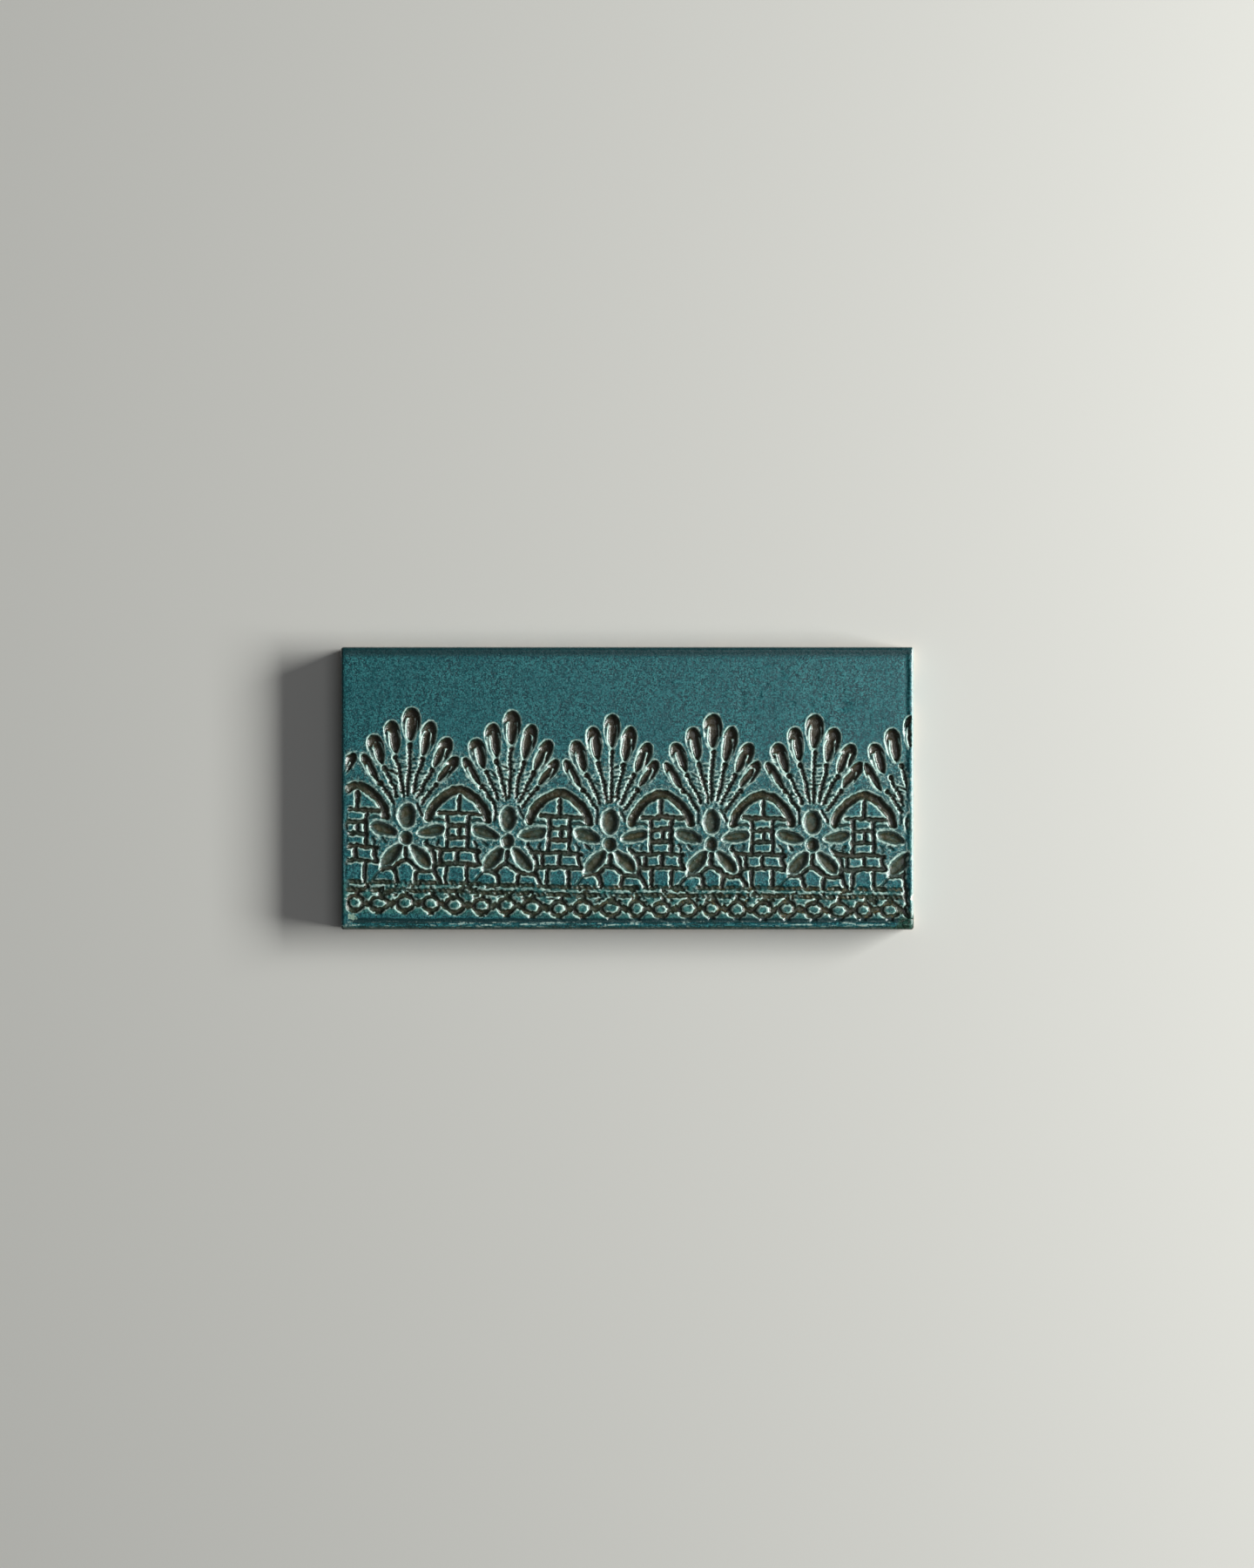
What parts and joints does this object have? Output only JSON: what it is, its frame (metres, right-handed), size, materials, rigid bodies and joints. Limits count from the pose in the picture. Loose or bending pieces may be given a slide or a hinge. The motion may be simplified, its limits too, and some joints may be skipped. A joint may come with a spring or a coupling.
{
  "type": "subway tile",
  "caption": "Handmade glazed subway tile with a lace border pressed into its face.",
  "frame": {"origin": "centre of the back, the flat face that is bedded on the wall", "axes": "+Z out of the glazed face, +X along the length, +Y across the width from the lace border towards the plain field"},
  "size_m": [0.152, 0.075, 0.009],
  "materials": {
    "glaze": "glossy teal glaze that pools dark brown in the recesses and breaks pale on their rims"
  },
  "bodies": {
    "root": {"tile": "glaze"}
  },
  "joints": []
}
